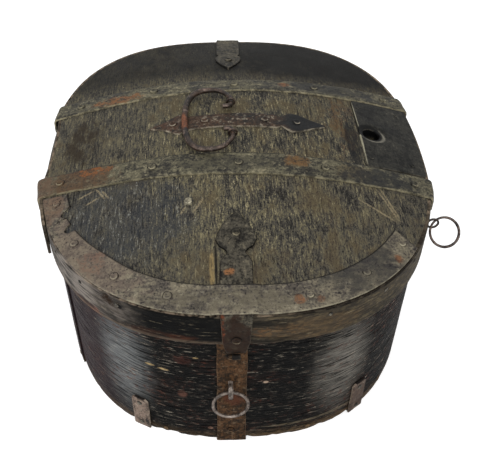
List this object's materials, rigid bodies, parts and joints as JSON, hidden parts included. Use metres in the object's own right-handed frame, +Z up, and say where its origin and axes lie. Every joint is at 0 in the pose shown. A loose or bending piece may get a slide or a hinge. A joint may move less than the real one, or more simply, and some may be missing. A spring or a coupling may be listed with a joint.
{
  "type": "donation box",
  "caption": "Oval bentwood offering box bound in iron, with a hinged domed lid, a coin hole, a folding top handle and hanging rings.",
  "frame": {"origin": "centre of the case's underside, where it rests on the table", "axes": "+Z up, -Y towards the hasp side, +X towards the side with the coin hole"},
  "size_m": [0.4578, 0.4993, 0.2655],
  "materials": {
    "base_wood": "dark aged pine",
    "case_wood": "black-brown polished bentwood",
    "peg_wood": "cut peg ends",
    "lid_wood": "weathered olive-brown softwood with fine grain",
    "hoop_wood": "weathered dark bentwood",
    "band_iron": "forged iron, dark brown patina with rust",
    "plate_iron": "forged sheet iron, grey-brown patina",
    "worn_iron": "forged iron, worn grey-pink",
    "pale_nail": "bright filed nail head",
    "dark_iron": "dark forged iron",
    "rusted_iron": "forged iron with brown rust"
  },
  "bodies": {
    "case": {"base_board": "base_wood", "side_wall": "case_wood", "wall_pegs": "peg_wood", "front_strap": "rusted_iron", "front_strap_rivets": "rusted_iron", "front_staple": "worn_iron", "foot_clip_front_left": "rusted_iron", "foot_clip_front_right": "rusted_iron", "foot_clip_rear_left": "rusted_iron", "foot_clip_rear_right": "rusted_iron", "foot_clip_nails": "rusted_iron", "rear_strap": "rusted_iron", "rear_strap_rivets": "rusted_iron", "hinge_pin": "rusted_iron"},
    "lid": {"lid_board": "lid_wood", "lid_hoop": "hoop_wood", "lid_hoop_nails": "dark_iron", "front_edge_plate": "plate_iron", "front_edge_rivets": "plate_iron", "front_band": "band_iron", "front_band_rivets": "band_iron", "rear_band": "band_iron", "rear_band_rivets": "band_iron", "handle_plate": "rusted_iron", "handle_plate_rivets": "rusted_iron", "handle_eye_front": "dark_iron", "handle_eye_rear": "dark_iron", "coin_plate": "plate_iron", "coin_plate_nails": "rusted_iron", "hasp_strap": "rusted_iron", "hasp_strap_rivets": "rusted_iron", "hinge_strap": "rusted_iron", "hinge_strap_rivets": "rusted_iron", "rim_eye": "dark_iron", "repair_nail": "pale_nail"},
    "handle": {"carrying_handle": "worn_iron"},
    "front_ring": {"front_ring": "worn_iron"},
    "side_ring": {"side_ring": "dark_iron"}
  },
  "joints": [
    {"name": "lid_hinge", "type": "hinge", "parent": "case", "child": "lid", "pos_m": [-0.001, 0.2455, 0.176], "axis": [-1, 0, 0], "range_deg": [0, 180]},
    {"name": "handle_pivot", "type": "hinge", "parent": "lid", "child": "handle", "pos_m": [-0.005, 0.002, 0.25989], "axis": [0, 1, 0], "range_deg": [0, 177]},
    {"name": "front_ring_swing", "type": "hinge", "parent": "case", "child": "front_ring", "pos_m": [-0.015, -0.24159, 0.0985], "axis": [-1, 0, 0], "range_deg": [-12, 165]},
    {"name": "side_ring_swing", "type": "hinge", "parent": "lid", "child": "side_ring", "pos_m": [0.21159, -0.086, 0.177], "axis": [0, 1, 0], "range_deg": [-80, 42]}
  ]
}
